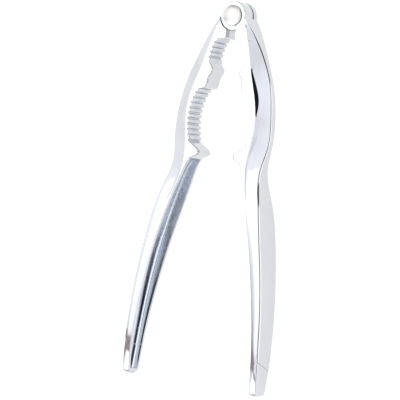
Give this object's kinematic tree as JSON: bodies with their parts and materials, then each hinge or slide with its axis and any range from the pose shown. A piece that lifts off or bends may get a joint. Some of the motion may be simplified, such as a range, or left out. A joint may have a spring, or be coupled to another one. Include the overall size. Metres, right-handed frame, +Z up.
{
  "type": "nutcracker",
  "caption": "Plier-type hand nutcracker: two chrome-plated die-cast arms with toothed jaws and channelled handles, hinged on a domed rivet.",
  "frame": {"origin": "bottom centre of the tool's box, with the tool lying on its back and open as pictured", "axes": "+Y towards the hinge, along the bisector of the arms; +X towards the right arm; +Z up, parallel to the rivet"},
  "size_m": [0.0792, 0.1838, 0.0151],
  "materials": {
    "chrome_plate": "bright polished chrome plate over a zinc casting",
    "nickel_rivet": "satin nickel plate, slightly warmer than the arms"
  },
  "bodies": {
    "left_side": {"left_arm": "chrome_plate", "rivet_head": "nickel_rivet", "rivet_pin": "nickel_rivet"},
    "right_side": {"right_arm": "chrome_plate"}
  },
  "joints": [
    {"name": "arm_hinge", "type": "hinge", "parent": "left_side", "child": "right_side", "pos_m": [0, 0.08485, 0.00755], "axis": [0, 0, 1], "range_deg": [-15.5, 120]}
  ]
}
